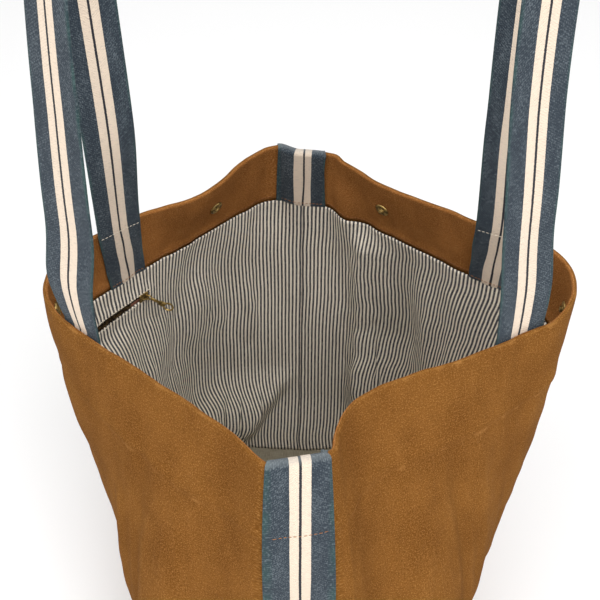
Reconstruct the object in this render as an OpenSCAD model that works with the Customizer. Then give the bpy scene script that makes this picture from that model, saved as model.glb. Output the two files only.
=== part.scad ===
// Open tote-style mail bag: a boxed canvas bag with a striped lining, a deep facing inside the
// rim, webbing over the two gusset seams, two webbing handles, a zipped inner pocket and three
// press snaps across the mouth. Millimetres, +Z up, origin at the middle of the base.
// +Y runs along the base; the handles stand on the +X and -X panels.

/* [Bag] */
// Width of the base, across the narrow end
base_w = 200; // [160:1:250]
// Length of the base, along the wide panels
base_l = 336; // [280:1:400]
// Radius of the base's corners
base_r = 22; // [10:1:30]
// Height from the base to the rim
bag_h = 384; // [320:1:460]
// Half width of the mouth, from its middle to the bowed middle of a wide panel
rim_x = 184; // [160:1:220]
// Half length of the mouth, from its middle to a gusset seam
rim_y = 166; // [130:1:200]
// Radius of the bowed middle of each wide panel at the rim
rim_r = 60; // [30:1:80]
// How far the walls belly out half-way up
belly = 22; // [5:1:30]

/* [Fabric] */
// Thickness of the outer canvas
canvas_t = 1.4; // [0.8:0.1:2]
// Thickness of the facing canvas
facing_t = 1.2; // [0.8:0.1:1.4]
// Depth of the facing band inside the rim
facing_d = 62; // [50:1:80]
// Thickness of the lining
lining_t = 1; // [0.6:0.1:1.2]

/* [Webbing] */
// Width of the webbing
web_w = 38; // [25:1:50]
// Thickness of the webbing
web_t = 2.2; // [1.4:0.1:2.6]

/* [Handles] */
// Height of a handle's top above the rim
handle_rise = 290; // [240:1:340]
// Distance along the rim from a panel's middle to the middle of a strap
strap_off = 75; // [62:1:84]
// How far a handle leans in from the rim to its top
handle_lean = 8; // [0:1:40]
// Radius of the bend at the top of a handle
handle_bend = 54; // [40:1:60]
// Height of the flexing line above the rim
flex_up = 20; // [18:1:30]
// Length of loose strap below the flexing line
tail_len = 12; // [8:1:12]

/* [Zip] */
// Length of the zip
zip_len = 196; // [150:1:210]
// Drop from the facing to the middle of the zip
zip_drop = 29; // [22:1:60]
// Distance between teeth of one row
tooth_pitch = 2.5; // [2.4:0.1:4]
// Width of the tape that shows beside each row of teeth
tape_w = 4.6; // [3:0.1:8]
// Travel of the slider along the straight stretch of the zip
slider_travel = 40; // [20:1:50]
// Length of the pull tab
tab_len = 22; // [16:1:30]
// Depth of the pocket bag behind the lining
pocket_d = 150; // [100:1:200]

/* [Snaps] */
// Diameter of a snap's socket
snap_d = 12.5; // [10:0.5:15]
// Distance from a gusset seam to the snap beside it
snap_off = 85; // [60:1:95]

/* [Hidden] */
$fn = 32;

canvas_brown = "#a5713d";
facing_brown = "#74492a";
ticking = "#c9bda8";
web_navy = "#55606b";
old_brass = "#8a7440";
zip_tape = "#d8ccb4";

// Layers of the wall, as insets from the outer face of the canvas
ply_gap = 0.4;
snap_back_t = 0.8;
snap_back_in = canvas_t + 0.3;
pocket_in = canvas_t + 0.3;
pocket_t = 0.6;
facing_in = snap_back_in + snap_back_t + 0.2;
trim_in = facing_in + facing_t + 0.3;
lining_in = facing_in + facing_t + ply_gap;
base_gap = 0.4;

// Zip, measured in from the wall like the layers
chain_in = lining_in + lining_t;
tooth_d = 1.5;
tooth_h = 3.8;
tooth_over = 1.2;
tooth_w = tooth_pitch * 0.44;
tape_t = 0.7;
tape_gap = 2.3;
slider_l = 11;
slider_h = 9.4;
slider_wall = 1;
slider_play = 0.4;
window_play = 1;
stop_w = 1.6;
bridge_w = 2.6;
bridge_rise = 2.9;
bridge_bar = 1;
tab_t = 1.1;
tab_w = 5.4;
tab_droop = 24;
tab_lift = 60;

// Snaps
snap_t = 1.6;
snap_post_d = 4;
snap_hole_play = 0.3;
snap_short = 0.2;
stud_d = 5;
stud_h = 2.2;
socket_hole_d = 5.6;

seam_gap = 0.3;

// Outline of the mouth, one quarter from a gusset seam to the middle of a wide panel
strip_half = web_w / 2;
rim_cx = rim_x - rim_r;
rim_far = norm([rim_cx - strip_half, rim_y]);
rim_run = sqrt(rim_far * rim_far - rim_r * rim_r);
rim_a = atan2(rim_y, rim_cx - strip_half) - asin(rim_r / rim_far);
rim_q = strip_half + rim_run + rim_r * (90 - rim_a) * PI / 180;
base_run = base_w / 2 - base_r;
base_arc = base_r * PI / 2;
base_q = base_run + base_arc + base_l / 2 - base_r;

function rim_quarter(s) =
    s < strip_half ? [s, -rim_y]
    : s < strip_half + rim_run ? [strip_half + (s - strip_half) * cos(rim_a),
        -rim_y + (s - strip_half) * sin(rim_a)]
    : let (a = rim_a - 90 + (s - strip_half - rim_run) / rim_r * 180 / PI)
        [rim_cx + rim_r * cos(a), rim_r * sin(a)];

function base_quarter(s) =
    s < base_run ? [s, -base_l / 2]
    : s < base_run + base_arc ? let (a = (s - base_run) / base_r * 180 / PI - 90)
        [base_run + base_r * cos(a), -base_l / 2 + base_r + base_r * sin(a)]
    : [base_w / 2, -base_l / 2 + base_r + s - base_run - base_arc];

// A point round the wall: s runs along the rim from the front seam to the rear one
function rim_pt(s) = s <= rim_q ? rim_quarter(s)
    : let (p = rim_quarter(2 * rim_q - s)) [p.x, -p.y];
function base_pt(s) = let (b = s * base_q / rim_q) s <= rim_q ? base_quarter(b)
    : let (p = base_quarter(2 * base_q - b)) [p.x, -p.y];
function flat_pt(s, k) = base_pt(s) * (1 - k) + rim_pt(s) * k;
function along(s, k) = let (t = flat_pt(s + 2, k) - flat_pt(s - 2, k)) t / norm(t);

// The wall at s and height z, moved in by inset. A negative s is on the other side of the seam.
function wall(s, z, inset) =
    let (side = s < 0 ? -1 : 1, a = abs(s), k = z / bag_h, p = flat_pt(a, k), t = along(a, k),
        out = belly * 4 * k * (1 - k) - inset)
    [side * (p.x + t.y * out), p.y - t.x * out, z];
function heading(s, z) = let (t = along(s, z / bag_h)) atan2(t.y, t.x);

// Even steps from a to b
function steps(a, b, n) = [for (i = [0:n]) a + (b - a) * i / n];

// A closed sheet between two grids of points, the outer face first
module sheet(outer, inner) {
    nu = len(outer);
    nv = len(outer[0]);
    n = nu * nv;
    quads = concat(
        [for (i = [0:nu - 2], j = [0:nv - 2])
            [i * nv + j, i * nv + j + 1, (i + 1) * nv + j + 1, (i + 1) * nv + j]],
        [for (i = [0:nu - 2], j = [0:nv - 2])
            [n + i * nv + j, n + (i + 1) * nv + j, n + (i + 1) * nv + j + 1, n + i * nv + j + 1]],
        [for (i = [0:nu - 2]) [i * nv, (i + 1) * nv, n + (i + 1) * nv, n + i * nv]],
        [for (i = [0:nu - 2]) let (a = i * nv + nv - 1, b = a + nv) [b, a, n + a, n + b]],
        [for (j = [0:nv - 2]) [j + 1, j, n + j, n + j + 1]],
        [for (j = [0:nv - 2]) let (a = (nu - 1) * nv + j) [a, a + 1, n + a + 1, n + a]]);
    polyhedron(points = concat([for (r = outer) each r], [for (r = inner) each r]),
        faces = [for (q = quads) each [[q[0], q[1], q[2]], [q[0], q[2], q[3]]]]);
}

// Shared columns and rows, so that all plies bend at the same lines. Each snap sits in the middle
// of a flat facet.
facet = snap_d + 4.5;
col_step = 15;
row_step = 25;
strap_s = rim_q - strap_off;
snap_z = bag_h - facing_d / 2;
marks = [seam_gap / 2, strip_half / 2, strip_half, snap_off - facet / 2, snap_off + facet / 2,
    strap_s - strip_half, strap_s + strip_half, rim_q - facet / 2];
half_cols = concat([for (i = [0:len(marks) - 2]) let (n = ceil((marks[i + 1] - marks[i]) / col_step))
        each [for (j = [0:n - 1]) marks[i] + (marks[i + 1] - marks[i]) * j / n]],
    [rim_q - facet / 2]);
cols = concat(half_cols, [for (i = [len(half_cols) - 1:-1:0]) 2 * rim_q - half_cols[i]]);
rows = concat(steps(0, bag_h - facing_d, ceil((bag_h - facing_d) / row_step)),
    [snap_z - facet / 2, snap_z + facet / 2, bag_h]);
function part_of(lines, a, b) = concat([a], [for (p = lines) if (p > a + 1 && p < b - 1) p], [b]);

// One ply of the wall from s0 to s1 and z0 to z1
module ply(s0, s1, z0, z1, inset, t) {
    ss = part_of(cols, s0, s1);
    zz = part_of(rows, z0, z1);
    sheet([for (s = ss) [for (z = zz) wall(s, z, inset)]],
        [for (s = ss) [for (z = zz) wall(s, z, inset + t)]]);
}

// Puts its children on the facet round s and z: local X along the wall, Y down, Z into the bag
module on_wall(s, z, inset) {
    h = facet / 2;
    a = wall(s - h, z + h, 0);
    b = wall(s + h, z + h, 0);
    c = wall(s - h, z - h, 0);
    d = wall(s + h, z - h, 0);
    u = (b + d - a - c) / norm(b + d - a - c);
    m = cross(u, c + d - a - b);
    n = m / norm(m);
    v = cross(n, u);
    o = (a + b + c + d) / 4;
    multmatrix([[u.x, v.x, n.x, o.x], [u.y, v.y, n.y, o.y], [u.z, v.z, n.z, o.z], [0, 0, 0, 1]])
        translate([0, 0, inset * norm([n.x, n.y])]) children();
}

module other_side() {
    mirror([1, 0, 0]) children();
}

// --- Shell ---

module shell_half() {
    color(canvas_brown) ply(seam_gap / 2, 2 * rim_q - seam_gap / 2, 0, bag_h, 0, canvas_t);
}

module base_sheet(inset, z, t) {
    ring = concat([0], [for (i = [1:len(cols) - 2]) cols[i]], [2 * rim_q]);
    half = [for (s = ring) let (p = wall(s, 0, inset)) [p.x, p.y]];
    rest = [for (i = [len(half) - 2:-1:1]) [-half[i].x, half[i].y]];
    translate([0, 0, z]) linear_extrude(t) polygon(concat(half, rest));
}

module shell_base() {
    color(canvas_brown) base_sheet(canvas_t + seam_gap, 0, canvas_t);
}

module seam_strip() {
    // The webbing climbs the outside of a gusset seam, turns over the rim and ends on the facing
    turn = (trim_in + ply_gap) / 2;
    mid = turn - ply_gap;
    outside = [for (z = part_of(rows, 4, bag_h)) [z, -ply_gap - web_t, -ply_gap]];
    over = [for (a = steps(0, 180, 6)) [a, 0, 0]];
    hem = part_of(rows, bag_h - facing_d, bag_h);
    inside = [for (i = [len(hem) - 1:-1:0]) [hem[i], trim_in + web_t, trim_in]];
    across = steps(-strip_half, strip_half, 4);
    top = bag_h + ply_gap;
    function face(s, k) = concat(
        [for (p = outside) wall(s, p[0], p[k])],
        [for (p = over) let (r = k == 1 ? turn + web_t : turn)
            wall(s, top + r * sin(p[0]), mid - r * cos(p[0]))],
        [for (p = inside) wall(s, p[0], p[k])]);
    color(web_navy) sheet([for (s = across) face(s, 1)], [for (s = across) face(s, 2)]);
}

// --- Facing, lining and pocket ---

snap_spots = [snap_off, rim_q, 2 * rim_q - snap_off];

module facing_half() {
    color(facing_brown) difference() {
        ply(seam_gap / 2, 2 * rim_q - seam_gap / 2, bag_h - facing_d, bag_h, facing_in, facing_t);
        for (s = snap_spots)
            on_wall(s, snap_z, facing_in - 1)
                cylinder(d = snap_post_d + 2 * snap_hole_play, h = facing_t + 2);
    }
}

lining_z0 = canvas_t + base_gap;
lining_z1 = bag_h - facing_d - seam_gap;

window_reach = zip_len / 2 + window_play;
window_rise = tooth_h - tooth_over + tape_gap + tape_w + window_play;

module lining_half(window) {
    color(ticking) difference() {
        ply(seam_gap / 2, 2 * rim_q - seam_gap / 2, lining_z0, lining_z1, lining_in, lining_t);
        if (window)
            ply(rim_q - window_reach, rim_q + window_reach, zip_z - window_rise, zip_z + window_rise,
                lining_in - 1, lining_t + 4);
    }
}

module lining_base() {
    color(ticking) base_sheet(lining_in + lining_t + seam_gap, lining_z0, lining_t);
}

module pocket_bag() {
    edge = 8;
    color(ticking) ply(rim_q - window_reach - edge, rim_q + window_reach + edge,
        zip_z - pocket_d, zip_z + window_rise + 1, pocket_in, pocket_t);
}

// --- Zip ---

zip_z = bag_h - facing_d - zip_drop;
zip_s1 = rim_q + zip_len / 2;
zip_s0 = rim_q - zip_len / 2;
slider_s = zip_s1 - slider_l / 2 - stop_w;
// The rear stretch of the chain is straight, so the slider can run along it
run_s = slider_s - slider_travel - slider_l;
run_a = wall(run_s, zip_z, chain_in);
run_b = wall(zip_s1, zip_z, chain_in);
run_dir = (run_b - run_a) / norm(run_b - run_a);
run_in = [-run_dir.y, run_dir.x, 0];
run_heading = atan2(run_dir.y, run_dir.x);

// A point beside the chain: up is its height over the chain's middle, inset its depth into the bag
function chain(s, up, inset) = s > run_s
    ? run_a + run_dir * (s - run_s) / (zip_s1 - run_s) * norm(run_b - run_a) + run_in * inset + [0, 0, up]
    : wall(s, zip_z, chain_in + inset) + [0, 0, up];
function chain_heading(s) = s > run_s ? run_heading : heading(s, zip_z);

module on_chain(s) {
    translate(chain(s, 0, 0)) rotate([-90, 0, chain_heading(s)]) children();
}

module zip_tape(side) {
    near = side * (tooth_h - tooth_over + tape_gap);
    far = near + side * tape_w;
    lo = min(near, far);
    hi = max(near, far);
    ss = steps(zip_s0, zip_s1, 20);
    color(zip_tape) sheet([for (s = ss) [chain(s, lo, 0), chain(s, hi, 0)]],
        [for (s = ss) [chain(s, lo, tape_t), chain(s, hi, tape_t)]]);
}

module zip_teeth(side) {
    count = floor((zip_len - 2 * slider_l) / tooth_pitch);
    shift = side > 0 ? 0 : tooth_pitch / 2;
    color(old_brass)
        for (i = [0:count - 1])
            on_chain(zip_s0 + 2 * stop_w + shift + tooth_pitch * i)
                translate([-tooth_w / 2, side > 0 ? -(tooth_h - tooth_over) : -tooth_over, 0])
                    cube([tooth_w, tooth_h, tooth_d]);
}

module zip_stops() {
    color(old_brass)
        for (s = [zip_s0 + stop_w / 2, zip_s1 - stop_w / 2])
            on_chain(s) translate([-stop_w / 2, -tooth_h / 2, 0]) cube([stop_w, tooth_h, tooth_d]);
}

// The slider is a flat box round the teeth, open at both ends
module slider_body() {
    d = tooth_d + 2 * slider_play + 2 * slider_wall;
    color(old_brass) on_chain(slider_s)
        translate([0, 0, -slider_play - slider_wall])
            difference() {
                translate([-slider_l / 2, -slider_h / 2, 0]) cube([slider_l, slider_h, d]);
                translate([-slider_l, -slider_h / 2 + slider_wall, slider_wall])
                    cube([2 * slider_l, slider_h - 2 * slider_wall, d - 2 * slider_wall]);
            }
}

bridge_in = tooth_d + slider_play + slider_wall;
bridge_span = slider_l * 0.7;
// The tab turns about a line just inside the corner of the bridge
tab_pivot_x = bridge_span / 2 - bridge_bar - 0.8;
tab_pivot_in = bridge_in + bridge_rise - 0.7;

// The bridge that the tab hangs on: two posts and a bar along the slider
module slider_bridge() {
    color(old_brass) on_chain(slider_s) translate([0, 0, bridge_in]) {
        for (x = [-bridge_span / 2, bridge_span / 2 - bridge_bar])
            translate([x, -bridge_w / 2, 0]) cube([bridge_bar, bridge_w, bridge_rise]);
        translate([-bridge_span / 2, -bridge_w / 2, bridge_rise]) cube([bridge_span, bridge_w, bridge_bar]);
    }
}

// The tab stands off the zip, lifted about its pivot. Its eye goes round the bridge, and its far
// end is a ring.
module pull_tab() {
    eye_back = 0.3;
    eye_front = 2.7;
    eye_wall = 0.8;
    eye_h = bridge_w + 1;
    ring_d = 9.4;
    ring_wall = 1.7;
    neck = eye_front + eye_wall / 2;
    module shank() {
        translate([neck, 0]) rotate(tab_droop) children();
    }
    color(old_brass) on_chain(slider_s)
        translate([tab_pivot_x, 0, tab_pivot_in]) rotate([0, -tab_lift, 0])
            translate([0, 0, -tab_t / 2]) linear_extrude(tab_t) difference() {
                union() {
                    translate([-eye_back - eye_wall, -eye_h / 2 - eye_wall])
                        square([eye_back + eye_front + 2 * eye_wall, eye_h + 2 * eye_wall]);
                    shank() translate([-0.6, -tab_w / 2 + 1]) square([tab_len - ring_d + 1.8, tab_w - 2]);
                    shank() translate([tab_len - ring_d / 2, 0]) circle(d = ring_d);
                }
                translate([-eye_back, -eye_h / 2]) square([eye_back + eye_front, eye_h]);
                shank() translate([tab_len - ring_d / 2, 0]) circle(d = ring_d - 2 * ring_wall);
            }
}

// --- Handles ---

strap_in = trim_in + web_t / 2;
strap_foot = wall(strap_s, bag_h, strap_in);
strap_turn = heading(strap_s, bag_h);

// The middle line of a handle, up the front strap, over the top and down the rear strap
strap_ease = 0.85;
handle_z0 = flex_up - tail_len;
bend_z = handle_rise - handle_bend;
function strap_x(h) = strap_foot.x - handle_lean * h / handle_rise;
function strap_y(h) = strap_foot.y + (-handle_bend - strap_foot.y) * h / bend_z;
handle_line = concat(
    [for (h = steps(handle_z0, bend_z, 9)) [strap_x(h), strap_y(h), bag_h + h]],
    [for (a = steps(12, 168, 13)) let (h = bend_z + handle_bend * sin(a))
        [strap_x(h), -handle_bend * cos(a), bag_h + h]],
    [for (h = steps(bend_z, handle_z0, 9)) [strap_x(h), -strap_y(h), bag_h + h]]);
// The webbing keeps the slant of the rim as it climbs, and turns square across over the top
function turn_at(p) = let (f = min(1, max(0, (p.z - bag_h - bend_z) / handle_bend)))
    strap_turn * strap_ease * (1 - f * f * (3 - 2 * f)) * (p.y < 0 ? 1 : -1);

module handle_loop() {
    n = len(handle_line);
    function edge(i, across, through) =
        let (p = handle_line[i],
            d = handle_line[min(n - 1, i + 1)] - handle_line[max(0, i - 1)],
            t = d / norm(d),
            a = turn_at(p),
            w0 = [cos(a), sin(a), 0],
            w1 = w0 - t * (w0 * t),
            w = w1 / norm(w1),
            m = cross(t, w))
        p + w * across + m * through;
    cols = [-web_w / 2, 0, web_w / 2];
    color(web_navy) sheet(
        [for (x = cols) [for (i = [0:n - 1]) edge(i, x, -web_t / 2)]],
        [for (x = cols) [for (i = [0:n - 1]) edge(i, x, web_t / 2)]]);
}

// The two ends of a handle, sewn down over the facing
module handle_ends() {
    color(web_navy)
        for (s = [strap_s, 2 * rim_q - strap_s])
            ply(s - strip_half, s + strip_half, bag_h - facing_d, bag_h - 1, trim_in, web_t);
}

// --- Snaps ---

module snap_backs() {
    color(old_brass)
        for (s = snap_spots)
            on_wall(s, snap_z, snap_back_in) {
                cylinder(d = snap_d - 2, h = snap_back_t);
                cylinder(d = snap_post_d, h = trim_in - snap_back_in - snap_short);
            }
}

module snap_sockets() {
    color(old_brass)
        for (s = snap_spots)
            on_wall(s, snap_z, trim_in) difference() {
                cylinder(d = snap_d, h = snap_t);
                translate([0, 0, 0.5]) cylinder(d = socket_hole_d, h = snap_t);
            }
}

module snap_studs() {
    color(old_brass)
        for (s = snap_spots)
            on_wall(s, snap_z, trim_in) {
                cylinder(d = snap_d, h = snap_t / 2);
                cylinder(d = stud_d, h = snap_t / 2 + stud_h);
            }
}

other_side() shell_half();  // shell_left
shell_half();  // shell_right
shell_base();
seam_strip();  // front_strip
mirror([0, 1, 0]) seam_strip();  // rear_strip
other_side() facing_half();  // facing_left
facing_half();  // facing_right
other_side() lining_half(true);  // lining_left
lining_half(false);  // lining_right
lining_base();
other_side() handle_loop();  // left_handle
handle_loop();  // right_handle
other_side() handle_ends();  // left_handle_ends
handle_ends();  // right_handle_ends
other_side() pocket_bag();
other_side() zip_tape(1);  // zip_tape_upper
other_side() zip_tape(-1);  // zip_tape_lower
other_side() zip_teeth(1);  // zip_teeth_upper
other_side() zip_teeth(-1);  // zip_teeth_lower
other_side() zip_stops();
other_side() slider_body();
other_side() slider_bridge();
other_side() pull_tab();
other_side() snap_sockets();
other_side() snap_backs();  // snap_socket_backs
snap_studs();
snap_backs();  // snap_stud_backs
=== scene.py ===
"""The looks of an open tote-style mail bag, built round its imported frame.

Every ply of cloth, strip of webbing, stitch, zip part and snap is laid on one wall surface, so
each keeps its place in the stack. Pattern sizes are in millimetres and meshes are in metres.
"""

import logging
import math
from collections.abc import Callable, Sequence
from dataclasses import dataclass, field
from enum import Enum

import bmesh
import bpy
import numpy as np
from mathutils import Matrix, Vector, noise


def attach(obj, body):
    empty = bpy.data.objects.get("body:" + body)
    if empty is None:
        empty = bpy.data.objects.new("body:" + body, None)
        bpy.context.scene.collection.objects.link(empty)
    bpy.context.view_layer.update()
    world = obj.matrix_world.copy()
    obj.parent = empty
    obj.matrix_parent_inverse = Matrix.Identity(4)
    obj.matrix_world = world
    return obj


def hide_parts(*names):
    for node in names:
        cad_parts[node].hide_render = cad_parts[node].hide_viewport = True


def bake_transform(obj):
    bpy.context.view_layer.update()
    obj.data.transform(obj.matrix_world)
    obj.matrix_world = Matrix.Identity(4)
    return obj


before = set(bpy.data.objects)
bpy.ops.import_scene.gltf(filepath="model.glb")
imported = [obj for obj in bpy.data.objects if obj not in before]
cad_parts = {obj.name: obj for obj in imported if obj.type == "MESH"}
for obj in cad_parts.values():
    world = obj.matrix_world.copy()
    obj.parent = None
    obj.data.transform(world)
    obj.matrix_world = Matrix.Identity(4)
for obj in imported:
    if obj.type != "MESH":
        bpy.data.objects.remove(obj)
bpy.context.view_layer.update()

MM = 0.001
CLOTH = "cloth"
log = logging.getLogger("mail_bag")


class Side(Enum):
    """A wide side of the bag, as the sign of its X."""

    LEFT = -1
    RIGHT = 1


class Seam(Enum):
    """A gusset seam, as the sign of its Y."""

    FRONT = -1
    REAR = 1


def ease(x: float) -> float:
    """A smooth step from 0 to 1."""
    x = min(1.0, max(0.0, x))
    return x * x * (3 - 2 * x)


def spread(low: float, high: float, step: float) -> list[float]:
    """Even places from low to high, about step apart.

    Args:
        low: The first place.
        high: The last place.
        step: The wanted distance between places.

    Returns:
        The places, both ends among them.
    """
    count = max(1, round(abs(high - low) / step))
    return [low + (high - low) * i / count for i in range(count + 1)]


def tint(red: int, green: int, blue: int) -> tuple[float, float, float, float]:
    """Turns a display colour into the linear colour that shaders take.

    Args:
        red: Red, from 0 to 255.
        green: Green, from 0 to 255.
        blue: Blue, from 0 to 255.

    Returns:
        The colour with full alpha.
    """

    def line(c: float) -> float:
        """One channel in linear light."""
        c /= 255
        return c / 12.92 if c <= 0.04045 else ((c + 0.055) / 1.055) ** 2.4
    return (line(red), line(green), line(blue), 1.0)


# --- Shader building ---


class Wire:
    """A shader value that takes part in Python sums."""

    def __init__(self, graph: "Graph", socket: bpy.types.NodeSocket) -> None:
        """Keeps the graph and the output socket that the value comes from."""
        self.graph = graph
        self.socket = socket

    def _math(self, operation: str, *values: "Wire | float") -> "Wire":
        """Adds one Math node and returns its value."""
        sockets = dict(enumerate(values))
        return self.graph.node("ShaderNodeMath", {"operation": operation}, sockets)

    def __add__(self, other: "Wire | float") -> "Wire":
        """The sum."""
        return self._math("ADD", self, other)

    def __radd__(self, other: float) -> "Wire":
        """The sum, with the number first."""
        return self._math("ADD", other, self)

    def __sub__(self, other: "Wire | float") -> "Wire":
        """The difference."""
        return self._math("SUBTRACT", self, other)

    def __rsub__(self, other: float) -> "Wire":
        """The difference, with the number first."""
        return self._math("SUBTRACT", other, self)

    def __mul__(self, other: "Wire | float") -> "Wire":
        """The product."""
        return self._math("MULTIPLY", self, other)

    def __rmul__(self, other: float) -> "Wire":
        """The product, with the number first."""
        return self._math("MULTIPLY", other, self)

    def __abs__(self) -> "Wire":
        """The value without its sign."""
        return self._math("ABSOLUTE", self)

    def sine(self) -> "Wire":
        """The sine of the value, in radians."""
        return self._math("SINE", self)

    def step(self, low: float, high: float) -> "Wire":
        """A smooth step from 0 at low to 1 at high."""
        settings = {"interpolation_type": "SMOOTHSTEP"}
        sockets = {"Value": self, "From Min": low, "From Max": high}
        return self.graph.node("ShaderNodeMapRange", settings, sockets)


class Graph:
    """One material's node tree."""

    def __init__(self, name: str) -> None:
        """Makes an empty material with an output node.

        Args:
            name: The material's name.
        """
        self.material = bpy.data.materials.new(name)
        self.material.use_nodes = True
        self.tree = self.material.node_tree
        self.tree.nodes.clear()
        self.output = self.tree.nodes.new("ShaderNodeOutputMaterial")

    def node(self, kind: str, settings: dict, sockets: dict, out: int | str = 0) -> Wire:
        """Adds a node.

        Args:
            kind: The node's type.
            settings: Its own properties, set before its sockets.
            sockets: Values or wires of its input sockets, by name or place.
            out: The output wanted.

        Returns:
            The output as a wire.
        """
        made = self.tree.nodes.new(kind)
        for key, value in settings.items():
            setattr(made, key, value)
        for key, value in sockets.items():
            if isinstance(value, Wire):
                self.tree.links.new(value.socket, made.inputs[key])
            else:
                made.inputs[key].default_value = value
        return Wire(self, made.outputs[out])

    def mix(self, factor: "Wire | float", first: "Wire | tuple", second: "Wire | tuple") -> Wire:
        """Mixes two colours by a factor."""
        return self.node("ShaderNodeMix", {"data_type": "RGBA"}, {0: factor, 6: first, 7: second}, 2)

    def cloth(self) -> tuple[Wire, Wire, Wire, Wire]:
        """The cloth attribute.

        Returns:
            The vector, the place across, the place along and the wear.
        """
        vector = self.node("ShaderNodeAttribute", {"attribute_name": CLOTH}, {}, "Vector")
        parts = self.node("ShaderNodeSeparateXYZ", {}, {0: vector})
        outputs = parts.socket.node.outputs
        return vector, Wire(self, outputs[0]), Wire(self, outputs[1]), Wire(self, outputs[2])

    def speckle(self, vector: Wire, across: float, along: float, detail: float = 2.0) -> Wire:
        """Noise stretched over the cloth.

        Args:
            vector: The place on the cloth, in millimetres.
            across: The size of a fleck across, in millimetres.
            along: The size of a fleck along, in millimetres.
            detail: The noise's detail.

        Returns:
            A value round 0.5.
        """
        size = (1 / across, 1 / along, 0.0)
        flat = self.node("ShaderNodeVectorMath", {"operation": "MULTIPLY"}, {0: vector, 1: size})
        return self.node("ShaderNodeTexNoise", {}, {"Vector": flat, "Scale": 1.0, "Detail": detail})

    def place(self) -> Wire:
        """The place in the bag, in metres."""
        return self.node("ShaderNodeTexCoord", {}, {}, "Object")

    def finish(self, sockets: dict, height: Wire | None = None, depth: float = 0.0) -> bpy.types.Material:
        """Puts the surface on the output.

        Args:
            sockets: The surface's values and wires, by name.
            height: What the bump follows, if any.
            depth: The bump's height in metres.

        Returns:
            The finished material.
        """
        if height is not None:
            bump = {"Height": height, "Distance": depth, "Strength": 1.0}
            sockets = {**sockets, "Normal": self.node("ShaderNodeBump", {}, bump)}
        surface = self.node("ShaderNodeBsdfPrincipled", {}, sockets)
        self.tree.links.new(surface.socket, self.output.inputs["Surface"])
        return self.material


@dataclass(frozen=True)
class WaxedCanvas:
    """Washed canvas: a grain of slubby threads, cloudy dye, pale where edges have rubbed."""

    name: str
    body: tuple[float, float, float, float]
    deep: tuple[float, float, float, float]
    rubbed: tuple[float, float, float, float]

    def build(self) -> bpy.types.Material:
        """Builds the finish.

        Returns:
            The material.
        """
        g = Graph(self.name)
        vector, _, _, wear = g.cloth()
        warp = g.speckle(vector, 0.85, 5.0)
        weft = g.speckle(vector, 5.0, 0.85)
        slub = g.speckle(vector, 1.6, 26.0) + g.speckle(vector, 26.0, 1.6)
        cloud = g.speckle(vector, 30.0, 48.0, 5.0)
        grain = g.speckle(vector, 0.9, 0.9, 2.0)
        threads = (warp + weft) * 0.5
        colour = g.mix(cloud.step(0.3, 0.7) * 0.6 + 0.25, self.deep, self.body)
        colour = g.mix((grain - 0.5).step(0.0, 0.16) * 0.6, colour, self.rubbed)
        colour = g.mix((0.5 - grain).step(0.0, 0.16) * 0.55, colour, self.deep)
        colour = g.mix((0.5 - threads).step(0.0, 0.14) * 0.5, colour, self.deep)
        colour = g.mix((slub - 1.0).step(0.1, 0.34) * 0.18, colour, self.rubbed)
        rub = (wear + (threads - 0.5) * 0.9 + (cloud - 0.5) * 0.4).step(0.2, 1.0)
        colour = g.mix(rub * 0.7, colour, self.rubbed)
        height = threads + grain * 0.7 + slub * 0.25
        return g.finish({"Base Color": colour, "Roughness": 1.0,
                         "Specular IOR Level": 0.04}, height, 0.0008)


@dataclass(frozen=True)
class Ticking:
    """Woven ticking: crisp stripes along the cloth, with slubs across them."""

    name: str
    cream: tuple[float, float, float, float]
    navy: tuple[float, float, float, float]
    pitch: float = 3.55

    def build(self) -> bpy.types.Material:
        """Builds the finish.

        Returns:
            The material.
        """
        g = Graph(self.name)
        vector, across, _, _ = g.cloth()
        warp = g.speckle(vector, 0.45, 5.0)
        weft = g.speckle(vector, 6.0, 0.5)
        ragged = g.speckle(vector, 2.2, 0.7)
        slow = g.speckle(vector, 60.0, 110.0)
        place = across + (ragged - 0.5) * 0.4 + (slow - 0.5) * 0.5
        wave = (place * (2 * math.pi / self.pitch)).sine()
        dark = (wave + 0.04).step(-0.18, 0.18) * (0.93 + (warp - 0.5) * 0.6)
        colour = g.mix(dark, self.cream, self.navy)
        colour = g.mix((weft - 0.5).step(0.06, 0.2) * 0.25, colour, self.cream)
        colour = g.mix((0.5 - weft).step(0.08, 0.22) * 0.2, colour, self.navy)
        height = warp + weft
        return g.finish({"Base Color": colour, "Roughness": 0.95, "Sheen Weight": 0.05,
                         "Specular IOR Level": 0.1}, height, 0.0004)


@dataclass(frozen=True)
class PlainCotton:
    """Unbleached cotton, with the flecks of its threads."""

    name: str
    pale: tuple[float, float, float, float]
    dark: tuple[float, float, float, float]

    def build(self) -> bpy.types.Material:
        """Builds the finish.

        Returns:
            The material.
        """
        g = Graph(self.name)
        vector, _, _, _ = g.cloth()
        threads = (g.speckle(vector, 0.7, 8.0) + g.speckle(vector, 8.0, 0.7)) * 0.5
        colour = g.mix((threads - 0.5).step(-0.15, 0.15), self.dark, self.pale)
        return g.finish({"Base Color": colour, "Roughness": 0.92}, threads, 0.0003)


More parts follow.
